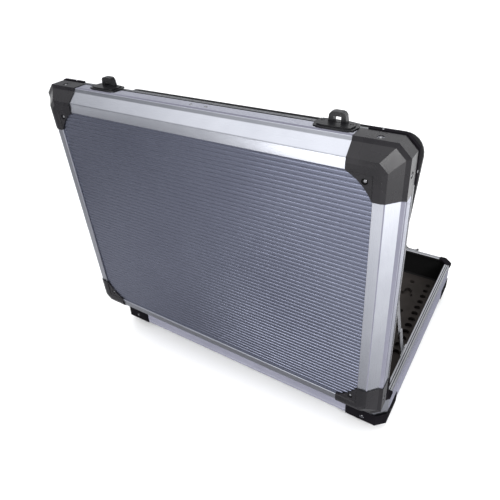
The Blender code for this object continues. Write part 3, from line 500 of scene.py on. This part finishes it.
def make_rims():
    """Ridged rims round both mouths: bright ridges, with the grooves and the inner face in matt black as painted
    shade.
    """
    for body, up in OUTWARD.items():
        section = [(y, MOUTH[body] + z) for y, z in rim_section(up)]
        for side, angle in SIDES:
            length = side_length(side) - 2 * (RIM_CORNER_REACH[body] + RIM_GAP)
            place = side_place(body, side, angle)
            obj = extrusion(f"{body}_ridged_rim_{side}", section, length, 0.0, place)
            dress(obj, "aluminium")
            obj.data.materials.append(MATERIALS["matt_black"])
            back = place.inverted()
            for face in obj.data.polygons:
                local = back @ face.center
                # Painted shade: faces sunk into the grooves, and the inner face, take the black.
                depth_in_shade = min(-local.y, up * (local.z - MOUTH[body]))
                face.material_index = int(depth_in_shade > 0.0002)
            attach(obj, body)
            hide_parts(f"{body}_rim_{side}")


def make_gap_strips():
    """Black strips that fill the gap between each edge frame and its rim."""
    for body, up in OUTWARD.items():
        rim_end = MOUTH[body] + up * (RIM_HEIGHT + GAP_STRIP_CLEARANCE)
        frame_end = OUTER_FACE[body] - up * (FRAME_DEPTH[body] + GAP_STRIP_CLEARANCE)
        low, high = sorted((rim_end, frame_end))
        middle = (low + high) / 2
        section = [(-0.0004, low), (-0.0001, middle), (-0.0004, high), (-0.0019, high), (-0.0019, low)]
        for side, angle in SIDES:
            length = side_length(side) - 2 * GAP_STRIP_CORNER
            obj = extrusion(f"{body}_gap_strip_{side}", section, length, 0.0, side_place(body, side, angle))
            dress(obj, "matt_black")
            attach(obj, body)


# One rib of the panels, as (share of the pitch, height in metres): a broad crown and a narrow groove
RIB_CROWN = 0.00005
RIB_PROFILE = (
    (0.00, 0.0), (0.10, 0.00002), (0.30, RIB_CROWN), (0.50, 0.00003), (0.60, -0.00002), (0.66, -0.00008),
    (0.72, -0.00020), (0.78, -0.00040), (0.82, -0.00046), (0.86, -0.00040), (0.92, -0.00020), (0.97, -0.00006),
)


def make_panels():
    """The ribbed skin of the lid, and the ribbed floor."""
    width, depth = WIDTH - 2 * PANEL_INSET, DEPTH - 2 * PANEL_INSET
    count = int(depth / RIB_PITCH)
    first = -count * RIB_PITCH / 2
    for body, node in (("lid", "lid_panel"), ("base", "floor_panel")):
        up = OUTWARD[body]
        level = OUTER_FACE[body] - up * PANEL_SINK
        section = [(-depth / 2, level - up * PANEL_THICKNESS), (-depth / 2, level)]
        for rib in range(count):
            for share, height in RIB_PROFILE:
                section.append((first + (rib + share) * RIB_PITCH, level + up * (height - RIB_CROWN)))
        section += [(depth / 2, level), (depth / 2, level - up * PANEL_THICKNESS)]
        obj = extrusion(f"{body}_ribbed_skin", section, width, 0.0, PLACES[body])
        obj.data.set_sharp_from_angle(angle=math.radians(60))
        dress(obj, "ribbed_panel")
        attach(obj, body)
        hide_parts(node)


# A fastener head's outline from its flange to its top, as shares of its radius and its height
HEAD_PROFILE = ((1.0, 0.12), (0.94, 0.35), (0.78, 0.68), (0.5, 0.92), (0.2, 1.0))
HEAD_SINK = 0.0004
HEAD_SEGMENTS = 18
SCREW_DIP = 0.45


def add_head(bm, point, normal, radius, height, screw):
    """A domed fastener head on a face, added to a mesh. A screw's has a dip in its top."""
    turn = Vector(normal).to_track_quat("Z", "Y").to_matrix().to_4x4()
    place = Matrix.Translation(point) @ turn
    outline = [(radius, -HEAD_SINK)] + [(radius * across, height * up) for across, up in HEAD_PROFILE]
    rings = []
    for reach, level in outline:
        ring = []
        for step in range(HEAD_SEGMENTS):
            angle = 2 * math.pi * step / HEAD_SEGMENTS
            ring.append(bm.verts.new(place @ Vector((reach * math.cos(angle), reach * math.sin(angle), level))))
        rings.append(ring)
    for lower, upper in zip(rings, rings[1:]):
        bridge(bm, lower, upper)
    top = rings[-1]
    if screw:
        dip = bm.verts.new(place @ Vector((0.0, 0.0, SCREW_DIP * height)))
        for i in range(HEAD_SEGMENTS):
            bm.faces.new((top[i], top[(i + 1) % HEAD_SEGMENTS], dip))
    else:
        bm.faces.new(top)
    bm.faces.new(list(reversed(rings[0])))


def heads(name, body, places, size, material, screw=False):
    """Fastener heads on one body, as one piece.

    places: (point, normal), or (point, normal, radius, height) for a head that isn't of the size (radius, height).
    """
    bm = bmesh.new()
    for point, normal, *own_size in places:
        add_head(bm, point, normal, *(own_size or size), screw)
    obj = new_object(name, bm, 40.0)
    obj.data.transform(PLACES[body])
    dress(obj, material)
    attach(obj, body)


def corner_point(corner, local, level):
    """A point given from a corner of the case, as seen at the front right, in the shut case's axes."""
    sign_x, sign_y, angle = corner
    turned = Matrix.Rotation(angle, 4, "Z") @ Vector((*local, 0))
    return Vector((sign_x * WIDTH / 2 + turned.x, sign_y * DEPTH / 2 + turned.y, level))


def make_corner_rivets():
    """A rivet on a thin black disc of painted shadow at each cap's web and flanks, and two on each of the lid's rim
    corners.
    """
    web, along, down = 0.0315, 0.027, 0.0185
    rim_along, rim_radius = 0.030, 0.0013
    # The left and right rims are the widest part of the object, so the rivets there lie flush.
    flush, proud = 0.00003, 0.0006
    rivet_size = (0.0019, 0.0010)
    for body, up in OUTWARD.items():
        flank = OUTER_FACE[body] - up * down
        web_level = OUTER_FACE[body] - up * (PANEL_SINK - 0.0003)
        rim_level = MOUTH[body] + up * RIM_HEIGHT / 2
        shade_discs, rivets = [], []
        for corner in CORNERS:
            turn = Matrix.Rotation(corner[2], 3, "Z")
            normal_y, normal_x = turn @ Vector((0, 1, 0)), turn @ Vector((1, 0, 0))
            spots = [
                (corner_point(corner, (-web, -web), web_level), Vector((0, 0, up))),
                (corner_point(corner, (-along, 0.0), flank), normal_y),
                (corner_point(corner, (0.0, -along), flank), normal_x),
            ]
            shade_discs += spots
            rivets += spots
            if body == "lid":
                reach = RIM_CORNER_PROUD
                for local, normal in (((-rim_along, reach), normal_y), ((reach, -rim_along), normal_x)):
                    height = flush if abs(normal.x) > 0.5 else proud
                    rivets.append((corner_point(corner, local, rim_level), normal, rim_radius, height))
        # Thin black discs under the rivets: the painted shadow of a recess.
        heads(f"{body}_rivet_shade_discs", body, shade_discs, (0.00285, 0.00015), "matt_black")
        heads(f"{body}_corner_rivets", body, rivets, rivet_size, "rivet")


def make_other_heads():
    """The keepers' and latch plates' screws, and the rivets of the front wall, the hinge and the stay."""
    wall = DEPTH / 2
    front, rear, right = Vector((0, 1, 0)), Vector((0, -1, 0)), Vector((1, 0, 0))

    keeper_face, keeper_level, keeper_offset = wall + 0.0024, TOP - 0.0287, 0.0132
    places = [((x + dx, keeper_face, keeper_level), front) for x in LATCHES for dx in (-keeper_offset, keeper_offset)]
    heads("keeper_screws", "lid", places, (0.0016, 0.0005), "black_latch", screw=True)

    places = [((x, wall, TOP - 0.022), front) for x in (-0.0065, 0.012)]
    heads("front_wall_rivets_lid", "lid", places, (0.0016, 0.0008), "rivet")

    plate_face, plate_level, plate_offset = wall + 0.0023, 0.0225, 0.0140
    places = [((x + dx, plate_face, plate_level), front) for x in LATCHES for dx in (-plate_offset, plate_offset)]
    heads("latch_plate_screws", "base", places, (0.0018, 0.0008), "rivet", screw=True)

    for body, level in (("base", 0.0505), ("lid", 0.0735)):
        places = [((x, -wall - 0.0013, level), rear) for x in HINGE_RIVETS]
        heads(f"hinge_rivets_{body}", body, places, (0.0018, 0.0009), "zinc_steel")

    places = [((WIDTH / 2, -0.0749, 0.0535), right)]
    heads("stay_wall_rivet", "base", places, (0.0016, 0.0008), "rivet")


# Each slot's rounded edges on the CAD nodes, as (width in metres, segments)
EDGES = {
    "black_plastic": (0.0007, 3),
    "black_latch": (0.00035, 2),
    "zinc_steel": (0.00018, 2),
    "board_fabric": (0.0011, 3),
    "tray_foam": (0.0004, 2),
    "aluminium": (0.00012, 1),
}


def dress_cad():
    """Materials and rounded edges for the CAD nodes."""
    for name, node in frame["nodes"].items():
        slot = SLOTS[name]
        if "_post_" in name:
            dress(node, "extruded")
        # The base caps and rim corners take the duller copy of the plastic: painted shade.
        elif name.startswith("base_cap") or "rim_corner" in name:
            dress(node, "dimmed_plastic")
        else:
            dress(node, slot)
        if slot in EDGES:
            bevel(node, *EDGES[slot])


# ---------------------------------------------------------------- studio
def area_light(name, location, target, width, height, power):
    """A rectangular softbox turned to a target."""
    light = bpy.data.lights.new(name, "AREA")
    light.shape = "RECTANGLE"
    light.size = width
    light.size_y = height
    light.energy = power
    obj = bpy.data.objects.new(name, light)
    bpy.context.scene.collection.objects.link(obj)
    obj.location = location
    obj.rotation_euler = (Vector(target) - Vector(location)).to_track_quat("-Z", "Y").to_euler()


def sheet(name, half_size, location):
    """A flat square in the studio."""
    bm = bmesh.new()
    bmesh.ops.create_grid(bm, x_segments=1, y_segments=1, size=half_size)
    obj = new_object(name, bm)
    obj.location = location
    return obj


def make_studio():
    """A pale floor, a soft dome, four softboxes and a card of painted shade seen only in reflections."""
    floor = sheet("floor", 9.0, (0.0, 0.0, -0.0002))
    nodes = Nodes("pale_floor", (0.93, 0.93, 0.93), 0.7)
    nodes.set("Specular IOR Level", 0.1)
    floor.data.materials.append(nodes.material)

    make_sky()
    area_light("front_low", (-0.30, -1.66, 0.13), (0.15, 0.0, 0.25), 0.75, 0.26, 4.3)
    area_light("right_low", (0.95, -0.40, 0.14), (0.2, -0.15, 0.3), 0.5, 0.26, 1.6)
    area_light("right_high", (1.05, -0.90, 1.05), (0.2, -0.15, 0.35), 0.40, 0.40, 14.0)
    area_light("back_high", (0.40, 1.90, 0.95), (0.1, 0.0, 0.3), 2.4, 0.6, 8.0)
    make_shade_card()


def make_shade_card():
    """A card on the floor, seen only in reflections, carrying painted shade: dark by the case and at the left, pale
    further out.
    """
    shade_card = sheet("shade_card", 2.2, (0.0, -0.05, 0.001))
    nodes = Nodes("shade_card_paint", (0.3, 0.3, 0.3), 0.8)
    axes = nodes.tree.nodes.new("ShaderNodeSeparateXYZ")
    nodes.tree.links.new(nodes.coords, axes.inputs["Vector"])
    away = nodes.tree.nodes.new("ShaderNodeVectorMath")
    away.operation = "LENGTH"
    nodes.tree.links.new(nodes.coords, away.inputs[0])
    # Painted shade: the card is darkest near the case and towards the left, so its reflections darken there.
    dark_by_case = nodes.ramp(away.outputs["Value"], 0.0, 1.0, 0.22, 0.62)
    across = nodes.ramp(axes.outputs["X"], 0.05, 1.0, -0.62, 0.10)
    nodes.link(nodes.mix(nodes.multiply(dark_by_case, across), (0.26, 0.26, 0.27), (0.93, 0.93, 0.93)), "Base Color")
    shade_card.data.materials.append(nodes.material)
    shade_card.visible_camera = False
    shade_card.visible_diffuse = False
    shade_card.visible_shadow = False


SKY_BASE = (0.17, 0.18, 0.20)
# Each glow's direction, the cosine where it starts, the cosine where it is full, and its strength
SKY_GLOWS = (
    ((0.0, -0.95, 0.15), 0.50, 0.97, 0.75),
    ((-0.10, -0.20, 1.0), 0.50, 0.92, 2.2),
    ((-0.35, 0.90, 0.35), 0.70, 0.95, 0.5),
)


def make_sky():
    """A soft studio dome: an even grey with broad glows where its softboxes hang."""
    world = bpy.data.worlds.new("studio")
    bpy.context.scene.world = world
    world.use_nodes = True
    tree = world.node_tree
    direction = tree.nodes.new("ShaderNodeTexCoord").outputs["Generated"]
    total = None
    for towards, start, full, strength in SKY_GLOWS:
        dot = tree.nodes.new("ShaderNodeVectorMath")
        dot.operation = "DOT_PRODUCT"
        tree.links.new(direction, dot.inputs[0])
        dot.inputs[1].default_value = Vector(towards).normalized()
        glow = tree.nodes.new("ShaderNodeMapRange")
        glow.interpolation_type = "SMOOTHSTEP"
        glow.inputs["From Min"].default_value = start
        glow.inputs["From Max"].default_value = full
        glow.inputs["To Max"].default_value = strength
        tree.links.new(dot.outputs["Value"], glow.inputs["Value"])
        if total is None:
            total = glow.outputs["Result"]
        else:
            add = tree.nodes.new("ShaderNodeMath")
            tree.links.new(total, add.inputs[0])
            tree.links.new(glow.outputs["Result"], add.inputs[1])
            total = add.outputs["Value"]
    colour = tree.nodes.new("ShaderNodeVectorMath")
    colour.operation = "ADD"
    colour.inputs[0].default_value = SKY_BASE
    tree.links.new(total, colour.inputs[1])
    tree.links.new(colour.outputs["Vector"], tree.nodes["Background"].inputs["Color"])


CAMERA_PLACE = (0.29847, -0.55588, 0.52971)
CAMERA_TURN = (32.27, -29.84, -1.75)
CAMERA_LENS = 34.439
CAMERA_SHIFT = (-0.02494, -0.06468)


def make_camera():
    """The view that a perspective fit of the case's edges gave: from behind, above and to the right."""
    yaw, pitch, roll = (math.radians(angle) for angle in CAMERA_TURN)
    forward = Vector((-math.sin(yaw) * math.cos(pitch), math.cos(yaw) * math.cos(pitch), math.sin(pitch)))
    right = forward.cross(Vector((0, 0, 1))).normalized()
    up = right.cross(forward)
    level_right = right * math.cos(roll) + up * math.sin(roll)
    level_up = -right * math.sin(roll) + up * math.cos(roll)
    camera = bpy.data.cameras.new("camera")
    camera.sensor_width = 36.0
    camera.lens = CAMERA_LENS
    camera.shift_x, camera.shift_y = CAMERA_SHIFT
    camera.clip_end = 60.0
    obj = bpy.data.objects.new("camera", camera)
    bpy.context.scene.collection.objects.link(obj)
    basis = Matrix((level_right, level_up, -forward)).transposed().to_4x4()
    obj.matrix_world = CASE @ Matrix.Translation(CAMERA_PLACE) @ basis
    bpy.context.scene.camera = obj


dress_cad()
make_frames()
make_rims()
make_gap_strips()
make_panels()
make_corner_rivets()
make_other_heads()
make_studio()
make_camera()
bpy.context.scene.view_settings.view_transform = "Standard"
